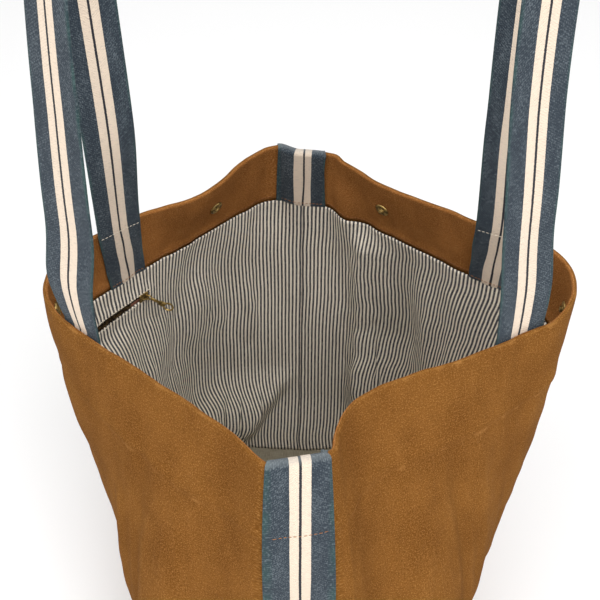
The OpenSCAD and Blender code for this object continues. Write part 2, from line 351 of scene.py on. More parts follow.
@dataclass(frozen=True)
class StripedWebbing:
    """Flecked dark webbing with two pale stripes and a thin dark line between them."""

    name: str
    slate: tuple[float, float, float, float]
    fleck: tuple[float, float, float, float]
    edge: tuple[float, float, float, float]
    cream: tuple[float, float, float, float]
    line: tuple[float, float, float, float]
    rubbed: tuple[float, float, float, float]
    half: float = 19.0

    def build(self) -> bpy.types.Material:
        """Builds the finish.

        Returns:
            The material.
        """
        g = Graph(self.name)
        vector, across, along, wear = g.cloth()
        ribs = g.speckle(vector, 3.5, 0.6)
        flecks = g.speckle(vector, 0.55, 2.2)
        cloud = g.speckle(vector, 9.0, 30.0)
        off = abs(across) + (g.speckle(vector, 2.0, 0.9) - 0.5) * 0.55
        twill = (along * (2 * math.pi / 1.9) + abs(across) * 2.6).sine()
        light = (flecks + (ribs - 0.5) * 0.5 + (cloud - 0.5) * 0.35 + twill * 0.05).step(0.46, 0.72)
        slate = g.mix(light * 0.6, self.slate, self.fleck)
        slate = g.mix(off.step(self.half * 0.86, self.half) * 0.55 * cloud.step(0.3, 0.6), slate, self.edge)
        cream = g.mix((0.5 - ribs).step(0.02, 0.2) * 0.22, self.cream, self.fleck)
        inner = off.step(0.65, 0.95)
        outer = 1 - off.step(6.55, 6.8)
        colour = g.mix(inner * outer, slate, cream)
        colour = g.mix((1 - inner) * 0.92, colour, self.line)
        colour = g.mix((wear + (flecks - 0.5) * 0.8).step(0.3, 1.0) * 0.4, colour, self.rubbed)
        height = ribs * 0.7 + flecks * 0.5 + twill * 0.12
        return g.finish({"Base Color": colour, "Roughness": 0.9, "Sheen Weight": 0.08,
                         "Specular IOR Level": 0.15}, height, 0.0006)


@dataclass(frozen=True)
class Thread:
    """Twisted sewing thread."""

    name: str
    colour: tuple[float, float, float, float]
    shade: tuple[float, float, float, float]

    def build(self) -> bpy.types.Material:
        """Builds the finish.

        Returns:
            The material.
        """
        g = Graph(self.name)
        fuzz = g.node("ShaderNodeTexNoise", {}, {"Vector": g.place(), "Scale": 2500.0, "Detail": 1.0})
        colour = g.mix(fuzz.step(0.35, 0.65), self.shade, self.colour)
        return g.finish({"Base Color": colour, "Roughness": 0.7, "Sheen Weight": 0.1}, fuzz, 0.0001)


@dataclass(frozen=True)
class OldBrass:
    """Antique brass: dark patina, rubbed bright in patches."""

    name: str
    bright: tuple[float, float, float, float]
    patina: tuple[float, float, float, float]
    rough: float = 0.38

    def build(self) -> bpy.types.Material:
        """Builds the finish.

        Returns:
            The material.
        """
        g = Graph(self.name)
        place = g.place()
        spots = g.node("ShaderNodeTexNoise", {}, {"Vector": place, "Scale": 320.0, "Detail": 4.0})
        fine = g.node("ShaderNodeTexNoise", {}, {"Vector": place, "Scale": 2400.0, "Detail": 2.0})
        rubbed = (spots + (fine - 0.5) * 0.3).step(0.42, 0.66)
        colour = g.mix(rubbed, self.patina, self.bright)
        rough = self.rough + 0.22 * (1 - rubbed)
        return g.finish({"Base Color": colour, "Metallic": 0.9, "Roughness": rough}, fine, 0.00004)


# --- The wall ---


@dataclass(frozen=True)
class Pattern:
    """The sizes the bag is cut to, in millimetres."""

    base_w: float = 200.0
    base_l: float = 336.0
    base_r: float = 22.0
    height: float = 384.0
    rim_x: float = 184.0
    rim_y: float = 166.0
    rim_r: float = 60.0
    belly: float = 22.0
    facing: float = 62.0
    web: float = 38.0

    @property
    def half_web(self) -> float:
        """Half the webbing's width."""
        return self.web / 2

    @property
    def rim_cx(self) -> float:
        """How far out the middle of the bowed part of the rim lies."""
        return self.rim_x - self.rim_r

    @property
    def rim_run(self) -> float:
        """The straight stretch of the rim beside the strip."""
        return math.sqrt(math.hypot(self.rim_cx - self.half_web, self.rim_y) ** 2 - self.rim_r ** 2)

    @property
    def rim_angle(self) -> float:
        """The slant of the straight stretch, in radians."""
        across = self.rim_cx - self.half_web
        return math.atan2(self.rim_y, across) - math.asin(self.rim_r / math.hypot(across, self.rim_y))

    @property
    def quarter(self) -> float:
        """A quarter of the way round the rim."""
        return self.half_web + self.rim_run + self.rim_r * (math.pi / 2 - self.rim_angle)

    @property
    def around(self) -> float:
        """Half of the way round the rim, from seam to seam."""
        return 2 * self.quarter

    @property
    def hem(self) -> float:
        """The height of the facing's lower edge."""
        return self.height - self.facing

    @property
    def strap(self) -> float:
        """Where the middle of a handle's front strap meets the rim."""
        return self.quarter - 75

    @property
    def zip_z(self) -> float:
        """The height of the zip."""
        return self.hem - 29


P = Pattern()
ZIP_HALF = 98.0
SNAP_OFF = 85.0
FACE_IN = 3.9
TRIM_IN = 6.4
LINING_IN = 5.3
WEB_SEEN = 1.5


def bump(x: np.ndarray, before: float, after: float) -> np.ndarray:
    """A soft bump.

    Args:
        x: The distance from its top.
        before: Its reach on the negative side.
        after: Its reach on the positive side.

    Returns:
        1 at the top, 0 beyond its reach.
    """
    k = np.clip(np.where(x < 0, -x / before, x / after), 0, 1)
    return 1 - k * k * (3 - 2 * k)


@dataclass(frozen=True)
class Fold:
    """One soft fold or bulge of the wall, measured out from its plain shape."""

    sides: tuple[Side, ...]
    s: float
    before: float
    after: float
    out: float
    z: float = P.height
    below: float = 300.0
    above: float = 80.0
    lean: float = 0.0

    def height(self, s: np.ndarray, z: np.ndarray) -> np.ndarray:
        """How far out the fold stands at each place."""
        along = bump(s - self.s - self.lean * (z - self.z), self.before, self.after)
        return self.out * along * bump(z - self.z, self.below, self.above)


LEFT, RIGHT = (Side.LEFT,), (Side.RIGHT,)
BOTH = (Side.LEFT, Side.RIGHT)
FOLDS = (
    # The front gusset's right half falls in beside the webbing
    Fold(RIGHT, 66, 54, 116, -25, 384, 340),
    Fold(RIGHT, 27, 9, 10, 3, 384, 60),
    Fold(RIGHT, 30, 22, 40, 6, 250, 120, 90),
    # Rear gusset
    Fold(LEFT, 404, 44, 60, -9, 384, 80),
    Fold(LEFT, 490, 66, 24, 9, 384, 260),
    Fold(RIGHT, 425, 80, 66, -7, 384, 260),
    Fold(RIGHT, 474, 26, 26, -7, 318, 70, 50),
    Fold(RIGHT, 486, 14, 16, 4, 384, 40),
    # The right side is pulled out at the middle
    Fold(RIGHT, 268, 120, 90, 15, 384, 330),
    Fold(RIGHT, 258, 170, 170, 16, 120, 120, 220),
    Fold(LEFT, 258, 120, 120, -5, 260, 130, 110),
    # A crease beside the front webbing
    Fold(RIGHT, 28, 4, 4, 1.2, 300, 300, 70),
    # The lower half stands fuller than the plain shape
    Fold(BOTH, 105, 95, 130, 11, 120, 125, 190),
    Fold(BOTH, 412, 130, 95, 8, 120, 125, 190),
    # Long soft wrinkles near the side edges
    Fold(LEFT, 150, 13, 16, 3.5, 220, 200, 160),
    Fold(LEFT, 122, 12, 13, -3.0, 190, 170, 150),
    Fold(LEFT, 64, 16, 20, 3.0, 150, 150, 150),
    Fold(RIGHT, 158, 14, 18, 3.5, 200, 190, 180),
    Fold(RIGHT, 131, 11, 14, -3.0, 230, 200, 140),
    Fold(RIGHT, 188, 16, 12, -2.5, 150, 150, 190),
)


class Wall:
    """One wide side of the bag, from the front seam to the rear one, as a table of places."""

    def __init__(self, side: Side) -> None:
        """Works out the side's places, inward normals, up directions and crests.

        Args:
            side: The side.
        """
        self.side = side
        self.s = np.linspace(0, P.around, 420)
        self.z = np.linspace(0, P.height, 150)
        s, z = np.meshgrid(self.s, self.z, indexing="ij")
        places, inward = self._plain(s, z)
        out = sum(f.height(s, z) for f in FOLDS if side in f.sides)
        out = out + self._seams(s, z)
        out = out + self._ripples(places, s, z)
        out = out * self._beside_zip(s, z)
        places = places - inward * out[..., None]
        places[..., 0] += 4 * bump(P.around - s, 60, 60) * (z / P.height)
        along = np.gradient(places, axis=0)
        up = np.gradient(places, axis=1)
        normal = np.cross(along, up) * -side.value
        self.places = places
        self.inward = normal / np.linalg.norm(normal, axis=-1, keepdims=True)
        self.up = up / np.linalg.norm(up, axis=-1, keepdims=True)
        step = self.s[1] - self.s[0]
        smooth = out.copy()
        for _ in range(3):
            smooth[1:-1] = (smooth[:-2] + smooth[1:-1] + smooth[2:]) / 3
        self.crest = -np.gradient(np.gradient(smooth, step, axis=0), step, axis=0) * 14

    def _plain(self, s: np.ndarray, z: np.ndarray) -> tuple[np.ndarray, np.ndarray]:
        """The wall without folds.

        Args:
            s: Distances along the rim.
            z: Heights.

        Returns:
            Its places and its level inward directions.
        """
        k = z / P.height
        ahead = self._flat(s + 2, k) - self._flat(s - 2, k)
        ahead /= np.linalg.norm(ahead, axis=-1, keepdims=True)
        flat = self._flat(s, k)
        out = P.belly * 4 * k * (1 - k)
        x = flat[..., 0] + ahead[..., 1] * out
        y = flat[..., 1] - ahead[..., 0] * out
        places = np.stack([self.side.value * x, y, z], axis=-1)
        inward = np.stack([-self.side.value * ahead[..., 1], ahead[..., 0], np.zeros_like(z)], axis=-1)
        return places, inward

    def _flat(self, s: np.ndarray, k: np.ndarray) -> np.ndarray:
        """The blend of the base's outline and the rim's, as if on the right side.

        Args:
            s: Distances along the rim.
            k: Shares of the height.

        Returns:
            The places on plan.
        """
        rear = s > P.quarter
        q = np.where(rear, P.around - s, s)
        a = P.rim_angle
        t = q - P.half_web
        turn = a - math.pi / 2 + (t - P.rim_run) / P.rim_r
        x = np.where(q < P.half_web, q, np.where(t < P.rim_run, P.half_web + t * math.cos(a),
                                                 P.rim_cx + P.rim_r * np.cos(turn)))
        y = np.where(q < P.half_web, -P.rim_y, np.where(t < P.rim_run, -P.rim_y + t * math.sin(a),
                                                        P.rim_r * np.sin(turn)))
        run = P.base_w / 2 - P.base_r
        arc = P.base_r * math.pi / 2
        b = q * (run + arc + P.base_l / 2 - P.base_r) / P.quarter
        turn = (b - run) / P.base_r - math.pi / 2
        bx = np.where(b < run, b, np.where(b < run + arc, run + P.base_r * np.cos(turn), P.base_w / 2))
        by = np.where(b < run, -P.base_l / 2,
                      np.where(b < run + arc, -P.base_l / 2 + P.base_r + P.base_r * np.sin(turn),
                               -P.base_l / 2 + P.base_r + b - run - arc))
        x = bx * (1 - k) + x * k
        y = (by * (1 - k) + y * k) * np.where(rear, -1, 1)
        return np.stack([x, y], axis=-1)

    def _seams(self, s: np.ndarray, z: np.ndarray) -> np.ndarray:
        """How the wall tilts about the two webbing strips, so that both sides still meet.

        Args:
            s: Distances along the rim.
            z: Heights.

        Returns:
            How far out each place moves.
        """
        left = -self.side.value
        k = z / P.height
        front = np.minimum(s, P.half_web) / P.half_web * bump(s - P.half_web, 1e9, 45)
        q = P.around - s
        rear = np.minimum(q, P.half_web) / P.half_web * bump(q - P.half_web, 1e9, 45)
        middle = bump(s, 60, 60) - bump(q, 60, 60)
        return k * (middle + left * (4.0 * front + 3.0 * rear))

    def _ripples(self, places: np.ndarray, s: np.ndarray, z: np.ndarray) -> np.ndarray:
        """Small standing ripples and crumples, the same on both sides of a seam.

        Args:
            places: The places of the plain wall.
            s: Distances along the rim.
            z: Heights.

        Returns:
            How far out each place moves.
        """
        flat = places.reshape(-1, 3)
        tall = np.array([noise.noise(Vector((x / 21, y / 21, h / 150))) for x, y, h in flat])
        slow = np.array([noise.noise(Vector((x / 55 + 7, y / 55, h / 70))) for x, y, h in flat])
        fine = np.array([noise.noise(Vector((x / 9, y / 9 + 5, h / 22))) for x, y, h in flat])
        webbed = np.minimum(s, P.around - s)
        free = 0.25 + 0.75 * (1 - bump(webbed - P.half_web, 20, 25))
        rim = 1 - 0.45 * bump(z - P.height, 60, 60)
        return (tall * 2.1 + slow * 1.8 + fine * 0.7).reshape(s.shape) * free * rim

    def _beside_zip(self, s: np.ndarray, z: np.ndarray) -> np.ndarray:
        """Falls to 0 round the zip, which stays straight.

        Args:
            s: Distances along the rim.
            z: Heights.

        Returns:
            The share of the folds that each place keeps.
        """
        if self.side is Side.RIGHT:
            return np.ones_like(s)
        across = np.maximum(0, np.abs(s - P.quarter) - ZIP_HALF - 6)
        up = np.maximum(0, np.abs(z - P.zip_z) - 14)
        return 1 - bump(np.hypot(across, up * 1.3), 30, 30)

    def _look(self, table: np.ndarray, s: np.ndarray, z: np.ndarray) -> np.ndarray:
        """Reads a table between its places.

        Args:
            table: Values or vectors for every column and row.
            s: Distances along the rim.
            z: Heights.

        Returns:
            The values or vectors.
        """
        a = np.clip(s / (self.s[1] - self.s[0]), 0, len(self.s) - 1.001)
        b = np.clip(z / (self.z[1] - self.z[0]), 0, len(self.z) - 1.001)
        i, j = a.astype(int), b.astype(int)
        fa, fb = a - i, b - j
        if table.ndim == 3:
            fa, fb = fa[..., None], fb[..., None]
        return ((table[i, j] * (1 - fa) + table[i + 1, j] * fa) * (1 - fb)
                + (table[i, j + 1] * (1 - fa) + table[i + 1, j + 1] * fa) * fb)

    def at(self, s: np.ndarray, z: np.ndarray, inset: "np.ndarray | float") -> np.ndarray:
        """Places on the wall.

        Args:
            s: Distances along the rim from the front seam.
            z: Heights, which may pass the rim.
            inset: Depth into the bag from the outer face.

        Returns:
            The places, in millimetres.
        """
        s, z = np.broadcast_arrays(np.asarray(s, float), np.asarray(z, float))
        inset = np.broadcast_to(np.asarray(inset, float), s.shape)
        level = np.clip(z, 0, P.height)
        place = self._look(self.places, s, level)
        inward = self._look(self.inward, s, level)
        up = self._look(self.up, s, level)
        return place + inward * inset[..., None] + up * (z - level)[..., None]

    def frame(self, s: float, z: float, inset: float) -> Matrix:
        """A place as a matrix in metres: X along the wall, Y up or down, Z into the bag.

        Args:
            s: Distance along the rim.
            z: Height.
            inset: Depth into the bag.

        Returns:
            The matrix, right-handed.
        """
        o = self.at([s], [z], inset)[0]
        along = self.at([s + 2], [z], inset)[0] - self.at([s - 2], [z], inset)[0]
        up = self.at([s], [z + 2], inset)[0] - self.at([s], [z - 2], inset)[0]
        x = Vector(along).normalized()
        n = Vector(np.cross(along, up) * -self.side.value).normalized()
        y = n.cross(x)
        turned = Matrix((x, y, n)).transposed().to_4x4()
        return Matrix.Translation(Vector(o) * MM) @ turned


class Walls:
    """Both sides, and the seams where they meet."""

    def __init__(self) -> None:
        """Builds the two sides."""
        self.by_side = {side: Wall(side) for side in Side}

    def __getitem__(self, side: Side) -> Wall:
        """The wall on one side."""
        return self.by_side[side]

    def across(self, seam: Seam, u: np.ndarray, z: np.ndarray, inset: "np.ndarray | float") -> np.ndarray:
        """Places across a gusset seam.

        Args:
            seam: Which seam.
            u: Distances from the seam, negative on the left.
            z: Heights.
            inset: Depth into the bag.

        Returns:
            The places, in millimetres.
        """
        s = np.abs(u) if seam is Seam.FRONT else P.around - np.abs(u)
        left = self[Side.LEFT].at(s, z, inset)
        right = self[Side.RIGHT].at(s, z, inset)
        share = np.clip(u / 4 + 0.5, 0, 1)[..., None]
        if np.any(np.abs(u) < 2):
            return left * (1 - share) + right * share
        return np.where(u[..., None] < 0, left, right)


# --- Cloth and stitches ---


Place = Callable[[np.ndarray, np.ndarray], np.ndarray]
Wear = Callable[[np.ndarray, np.ndarray], np.ndarray]


@dataclass
class Cloth:
    """A ply of cloth laid on a surface.

    Its columns and rows are places in millimetres. The face that is seen follows the surface, and
    the thickness goes behind it. With an anchor, the pattern is measured over the folds from there.
    """

    name: str
    columns: Sequence[float]
    rows: Sequence[float]
    place: Place
    material: bpy.types.Material
    thickness: float
    flip: bool = False
    wear: Wear | None = None
    window: tuple[float, float, float, float] | None = None
    anchor: float | None = None

    def build(self) -> bpy.types.Object:
        """Builds the ply.

        Returns:
            The finished piece.
        """
        us, vs = np.array(self.columns), np.array(self.rows)
        bm = bmesh.new()
        bmesh.ops.create_grid(bm, x_segments=len(us) - 1, y_segments=len(vs) - 1, size=0.5)
        if self.window:
            self._cut(bm, us, vs)
        if self.flip:
            bmesh.ops.reverse_faces(bm, faces=bm.faces)
        mesh = bpy.data.meshes.new(self.name)
        bm.to_mesh(mesh)
        bm.free()
        flat = np.empty(len(mesh.vertices) * 3)
        mesh.vertices.foreach_get("co", flat)
        flat = flat.reshape(-1, 3)
        u = us[np.rint((flat[:, 0] + 0.5) * (len(us) - 1)).astype(int)]
        v = vs[np.rint((flat[:, 1] + 0.5) * (len(vs) - 1)).astype(int)]
        mesh.vertices.foreach_set("co", (self.place(u, v) * MM).ravel())
        worn = self.wear(u, v) if self.wear else np.zeros_like(u)
        if self.anchor is not None:
            u = self._over_folds(us, vs, u, v)
        layer = mesh.attributes.new(CLOTH, "FLOAT_VECTOR", "POINT")
        layer.data.foreach_set("vector", np.stack([u, v, worn], axis=-1).ravel())
        mesh.materials.append(self.material)
        mesh.shade_smooth()
        mesh.update()
        obj = bpy.data.objects.new(self.name, mesh)
        bpy.context.scene.collection.objects.link(obj)
        thick = obj.modifiers.new("thickness", "SOLIDIFY")
        thick.thickness = self.thickness * MM
        thick.offset = -1
        log.info("%s: %d x %d", self.name, len(us), len(vs))
        return obj

    def _over_folds(self, us: np.ndarray, vs: np.ndarray, u: np.ndarray, v: np.ndarray) -> np.ndarray:
        """Turns places across into distances over the cloth from the anchor.

        Args:
            us: The columns.
            vs: The rows.
            u: Each corner's column.
            v: Each corner's row.

        Returns:
            Each corner's distance.
        """
        across, up = np.meshgrid(us, vs)
        table = self.place(across.ravel(), up.ravel()).reshape(len(vs), len(us), 3)
        steps = np.linalg.norm(np.diff(table, axis=1), axis=-1)
        walked = np.concatenate([np.zeros((len(vs), 1)), np.cumsum(steps, axis=1)], axis=1)
        walked -= np.array([np.interp(self.anchor, us, row) for row in walked])[:, None]
        for _ in range(4):
            walked[1:-1] = (walked[:-2] + walked[1:-1] + walked[2:]) / 3
        return walked[np.searchsorted(vs, v), np.searchsorted(us, u)] + self.anchor

    def _cut(self, bm: bmesh.types.BMesh, us: np.ndarray, vs: np.ndarray) -> None:
        """Takes the window's faces out of the grid.

        Args:
            bm: The grid.
            us: The columns.
            vs: The rows.
        """
        u0, u1, v0, v1 = self.window
        inside = []
        for face in bm.faces:
            c = face.calc_center_median()
            u = np.interp((c.x + 0.5) * (len(us) - 1), np.arange(len(us)), us)
            v = np.interp((c.y + 0.5) * (len(vs) - 1), np.arange(len(vs)), vs)
            if u0 < u < u1 and v0 < v < v1:
                inside.append(face)
        bmesh.ops.delete(bm, geom=inside, context="FACES")


@dataclass
class Stitching:
    """Rows of stitches gathered into one piece."""

    name: str
    material: bpy.types.Material
    length: float = 2.3
    gap: float = 0.8
    radius: float = 0.26
    bm: bmesh.types.BMesh = field(default_factory=bmesh.new)

    def row(self, path: Callable[[float], Vector], start: float, stop: float) -> None:
        """Sews one row.

        Args:
            path: The place in millimetres at a distance along the row.
            start: Where the row starts.
            stop: Where it ends.
        """
        count = max(1, round(abs(stop - start) / (self.length + self.gap)))
        step = (stop - start) / count
        share = self.length / (self.length + self.gap) / 2
        part = bmesh.new()
        for i in range(count):
            middle = start + (i + 0.5) * step
            a = Vector(path(middle - step * share))
            b = Vector(path(middle + step * share))
            turned = (b - a).to_track_quat("X", "Z").to_matrix().to_4x4()
            size = Matrix.Diagonal((((b - a).length / 2) * MM, self.radius * MM, self.radius * MM, 1))
            matrix = Matrix.Translation((a + b) / 2 * MM) @ turned @ size
            bmesh.ops.create_uvsphere(part, u_segments=8, v_segments=5, radius=1, matrix=matrix)
        mesh = bpy.data.meshes.new("row")
        part.to_mesh(mesh)
        part.free()
        self.bm.from_mesh(mesh)
        bpy.data.meshes.remove(mesh)

    def build(self) -> bpy.types.Object:
        """Turns the rows into one object.

        Returns:
            The finished piece.
        """
        mesh = bpy.data.meshes.new(self.name)
        self.bm.to_mesh(mesh)
        self.bm.free()
        mesh.materials.append(self.material)
        mesh.shade_smooth()
        obj = bpy.data.objects.new(self.name, mesh)
        bpy.context.scene.collection.objects.link(obj)
        return obj


def just_off(place: Callable[[np.ndarray, np.ndarray, float], np.ndarray],
             raise_by: float = 0.1) -> Callable[[float, float], Vector]:
    """Makes the function that puts stitches just off a face.

    Args:
        place: Places on the face, raised off it by a distance.
        raise_by: The distance.

    Returns:
        The function, from two distances over the face to a place.
    """
    def point(u: float, v: float) -> Vector:
        """A place just off the face."""
        return Vector(place(np.array([u]), np.array([v]), raise_by)[0])

    return point


def as_object(name: str, bm: bmesh.types.BMesh, material: bpy.types.Material) -> bpy.types.Object:
    """A finished hard piece.

    Args:
        name: The piece's name.
        bm: Its mesh, which is used up.
        material: Its finish.

    Returns:
        The object.
    """
    mesh = bpy.data.meshes.new(name)
    bm.to_mesh(mesh)
    bm.free()
    mesh.materials.append(material)
    mesh.shade_smooth()
    obj = bpy.data.objects.new(name, mesh)
    bpy.context.scene.collection.objects.link(obj)
    return obj


# --- The pieces ---


@dataclass(frozen=True)
class Finishes:
    """Every finish, built once."""

    canvas: bpy.types.Material
    facing: bpy.types.Material
    ticking: bpy.types.Material
    base_cloth: bpy.types.Material
    webbing: bpy.types.Material
    tape: bpy.types.Material
    zip_metal: bpy.types.Material
    brass: bpy.types.Material
    brown_thread: bpy.types.Material
    white_thread: bpy.types.Material

    @classmethod
    def build(cls) -> "Finishes":
        """Makes all the materials.

        Returns:
            The finishes.
        """
        return cls(
            canvas=WaxedCanvas("waxed_canvas", tint(130, 86, 38), tint(100, 61, 22),
                               tint(168, 120, 66)).build(),
            # The facing is the same canvas as the shell; its lighter colours are painted light that brightens
            # the shaded inside of the rim.
            facing=WaxedCanvas("facing_canvas", tint(160, 104, 54), tint(120, 74, 34),
                               tint(196, 144, 88)).build(),
            ticking=Ticking("striped_ticking", tint(250, 240, 222), tint(34, 38, 54)).build(),
            base_cloth=PlainCotton("plain_cotton", tint(168, 160, 140), tint(136, 128, 110)).build(),
            webbing=StripedWebbing("striped_webbing", tint(46, 55, 64), tint(112, 122, 128), tint(44, 80, 74),
                                   tint(226, 208, 188), tint(40, 40, 46), tint(136, 142, 144)).build(),
            tape=PlainCotton("zip_tape", tint(130, 84, 64), tint(92, 56, 42)).build(),
            zip_metal=OldBrass("dark_zip_metal", tint(132, 108, 72), tint(52, 42, 32), 0.42).build(),
            brass=OldBrass("antique_brass", tint(214, 182, 112), tint(120, 100, 60)).build(),
            brown_thread=Thread("brown_thread", tint(168, 108, 54), tint(128, 76, 34)).build(),
            white_thread=Thread("white_thread", tint(240, 232, 216), tint(204, 192, 170)).build(),
        )


def rolled(v: np.ndarray, radius: float, inset: float, top: float) -> tuple[np.ndarray, np.ndarray]:
    """A ply that climbs its outer face and rolls over the rim.

    Args:
        v: Distance up the ply from the base.
        radius: Radius of the roll.
        inset: The inset of the climbing part.
        top: Height where the roll starts.

    Returns:
        Insets and heights.
    """
    turn = np.maximum(0, v - top) / radius
    return inset + radius * (1 - np.cos(turn)), np.where(v < top, v, top + radius * np.sin(turn))


@dataclass
class Shell:
    """The outer canvas: two halves and the base."""

    walls: Walls
    finishes: Finishes
    cloth: float = 1.4
    roll: float = 1.95
    foot: float = 4.0

    def build(self) -> None:
        """Builds and dresses the shell."""
        for side in Side:
            self._half(side)
        self._base()

    def _half(self, side: Side) -> None:
        """Builds one half, from its turned-under bottom to the roll of its rim.

        Args:
            side: The half's side.
        """
        wall = self.walls[side]
        top = P.height - self.roll
        foot = self.foot

        def place(u: np.ndarray, v: np.ndarray) -> np.ndarray:
            """Lays the canvas on the wall, turned under the base and rolled at the rim.

            Args:
                u: Distances along the rim.
                v: Heights.

            Returns:
                The places, in millimetres.
            """
            inset, z = rolled(v, self.roll, 0, top)
            under = np.clip((foot - v) / foot, 0, math.pi / 2)
            flat = np.maximum(0, foot - v - foot * math.pi / 2)
            z = np.where(v < foot, foot - foot * np.sin(under), z)
            inset = np.where(v < foot, foot * (1 - np.cos(under)) + flat, inset)
            ridge = 1.1 * bump(v - P.hem - 1, 2, 14) - 0.35 * bump(v - P.hem - 4, 1.6, 1.6)
            return wall.at(u, z, inset - ridge)

        def wear(u: np.ndarray, v: np.ndarray) -> np.ndarray:
            """Rubs the rim, the hem and the crests, and spares the cloth beside the webbing.

            Args:
                u: Distances along the rim.
                v: Heights.

            Returns:
                The rubbing.
            """
            rim = 0.4 * bump(v - P.height, 3, 3)
            crest = np.clip(wall._look(wall.crest, u, np.clip(v, 0, P.height)), 0, 0.3)
            strip = np.minimum(u, P.around - u)
            beside = -0.45 * bump(strip - P.half_web - 6, 10, 16)
            hem = 0.4 * bump(v - P.hem, 3, 2) - 0.25 * bump(v - P.hem + 6, 5, 4)
            crease = 0.5 * bump(u - 28, 1.8, 1.8) if side is Side.RIGHT else 0.0
            return np.clip(rim + crest + beside + hem + crease, -0.6, 1)

        columns = spread(0, P.around, 2.1)
        rows = [*spread(-8, foot, 1.7), *spread(foot + 1.6, top, 2.9),
                *spread(top + 0.6, top + self.roll * math.pi / 2, 0.6)]
        name = f"shell_cloth_{side.name.lower()}"
        half = Cloth(name, columns, rows, place, self.finishes.canvas, self.cloth, side is Side.LEFT,
                     wear).build()
        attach(half, "bag")
        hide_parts(f"shell_{side.name.lower()}")
        (P.height + 11) * MM

    def _base(self) -> None:
        """Builds the base cloth, laid on the turned-under hems."""
        base = Floor("shell_base_cloth", 1.6, 3.0, self.finishes.canvas, self.cloth).build()
        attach(base, "bag")
        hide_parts("shell_base")


@dataclass
class Floor:
    """A cloth across the bottom of the bag, with rounded corners."""

    name: str
    z: float
    inset: float
    material: bpy.types.Material
    thickness: float
    slack: float = 0.0

    def build(self) -> bpy.types.Object:
        """Builds the cloth.

        Returns:
            The finished piece.
        """
        half_l = P.base_l / 2 - self.inset
        half_w = P.base_w / 2 - self.inset
        r = P.base_r - self.inset

        def place(u: np.ndarray, v: np.ndarray) -> np.ndarray:
            """Draws the places in towards the rounded corners.

            Args:
                u: Distances across.
                v: Distances along.

            Returns:
                The places, in millimetres.
            """
            into = np.maximum(0, np.abs(v) - (half_l - r))
            width = half_w - r + np.sqrt(np.maximum(0, r * r - into * into))
            x = u / half_w * width
            wave = np.array([noise.noise(Vector((a / 40, b / 40, 3))) for a, b in zip(x, v)])
            return np.stack([x, v, self.z + self.slack * (0.5 + wave) * bump(u, half_w, half_w)], axis=-1)

        ends = [half_l - r * (1 - math.sin(a * math.pi / 24)) for a in range(13)]
        rows = [-y for y in reversed(ends)] + spread(-(half_l - r) + 5, half_l - r - 5, 5) + ends
        columns = spread(-half_w, half_w, 5)
        return Cloth(self.name, columns, rows, place, self.material, self.thickness).build()


@dataclass
class SeamStrip:
    """Webbing that climbs a gusset seam, turns over the rim and ends on the facing."""

    seam: Seam
    walls: Walls
    finishes: Finishes
    turn: float = 3.9
    middle: float = 2.3
    top: float = P.height - 2.7

    def path(self, v: "np.ndarray | float") -> tuple[np.ndarray, np.ndarray]:
        """Follows the seen face up, over the rim and down.

        Args:
            v: Distances from the lower end.

        Returns:
            Insets and heights.
        """
        v = np.asarray(v, float)
        rise = self.top - 3.0
        angle = np.clip((v - rise) / self.turn, 0, math.pi)
        down = np.maximum(0, v - rise - self.turn * math.pi)
        z = np.where(v < rise, 3.0 + v, self.top + self.turn * np.sin(angle) - down)
        return self.middle - self.turn * np.cos(angle), z

    @property
    def length(self) -> float:
        """The length of the webbing."""
        return self.top - 3.0 + self.turn * math.pi + self.top - P.hem

    def place(self, u: np.ndarray, v: np.ndarray, raise_by: float = 0.0) -> np.ndarray:
        """Lays the webbing over the seam.

        Args:
            u: Across, from the seam.
            v: Distances from the lower end.
            raise_by: How far off the seen face.

        Returns:
            The places, in millimetres.
        """
        inset, z = self.path(v)
        rise = self.top - 3.0
        angle = np.clip((v - rise) / self.turn, 0, math.pi)
        inset = inset - raise_by * np.cos(angle)
        z = z + raise_by * np.sin(angle)
        return self.walls.across(self.seam, u, z, inset)

    def build(self) -> None:
        """Builds and dresses the strip and its stitches."""
        rise = self.top - 3.0
        over = rise + self.turn * math.pi
        rows = [*spread(0, rise - 4, 4), *spread(rise - 2, over + 2, 0.9), *spread(over + 5, self.length, 4)]
        columns = [-19, -18.4, -17.4, *spread(-15.5, 15.5, 2.2), 17.4, 18.4, 19]

        def wear(u: np.ndarray, v: np.ndarray) -> np.ndarray:
            """The rubbing where it turns over the rim, and at its edges."""
            return 0.9 * bump(v - rise - 5, 9, 9) + 0.25 * bump(np.abs(u) - 19, 3, 3)

        name = f"{self.seam.name.lower()}_strip_webbing"
        strip = Cloth(name, columns, rows, self.place, self.finishes.webbing, WEB_SEEN,
                      self.seam is Seam.REAR, wear).build()
        soften(strip, 0.5)
        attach(strip, "bag")
        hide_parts(f"{self.seam.name.lower()}_strip")
        self.length * MM
        self._stitch()

    def _stitch(self) -> None:
        """Sews a row across the strip at the facing's hem, and one at its inner end."""
        sewn = Stitching(f"{self.seam.name.lower()}_strip_stitches", self.finishes.brown_thread)
        point = just_off(self.place)
        for v in (P.hem + 1, self.length - 3.5):
            sewn.row(lambda d, v=v: point(d, v), -17.5, 17.5)
        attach(sewn.build(), "bag")


def soften(obj: bpy.types.Object, width: float) -> None:
    """Rounds the cut edges of a thick piece.

    Args:
        obj: The piece.
        width: The rounding, in millimetres.
    """
    bevel = obj.modifiers.new("edges", "BEVEL")
    bevel.width = width * MM
    bevel.segments = 2
    bevel.limit_method = "ANGLE"
    bevel.angle_limit = math.radians(60)


